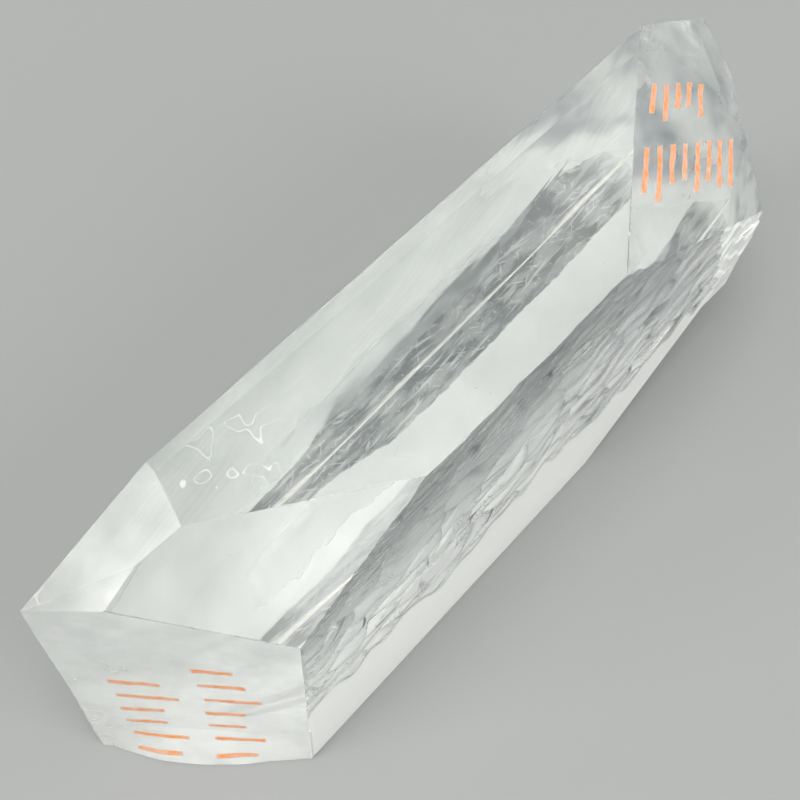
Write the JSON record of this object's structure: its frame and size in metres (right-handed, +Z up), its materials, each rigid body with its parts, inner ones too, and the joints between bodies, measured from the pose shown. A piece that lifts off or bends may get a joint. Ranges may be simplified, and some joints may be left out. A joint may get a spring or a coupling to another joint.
{
  "type": "quartz crystal",
  "caption": "Clear grown quartz bar lying on its flat side, with cobbled front and back faces, steep faceted ends and sloping top corners.",
  "frame": {"origin": "under the middle of the crystal's bounding box, on the flat face it rests on", "axes": "+X along the bar towards its far end, +Y across it from the cobbled front face to the cobbled back face, +Z up"},
  "size_m": [0.227, 0.0422, 0.0954],
  "materials": {
    "quartz": "clear polished growth faces with a faint milky haze, cobbled on the front and back"
  },
  "bodies": {
    "root": {"crystal": "quartz"}
  },
  "joints": []
}
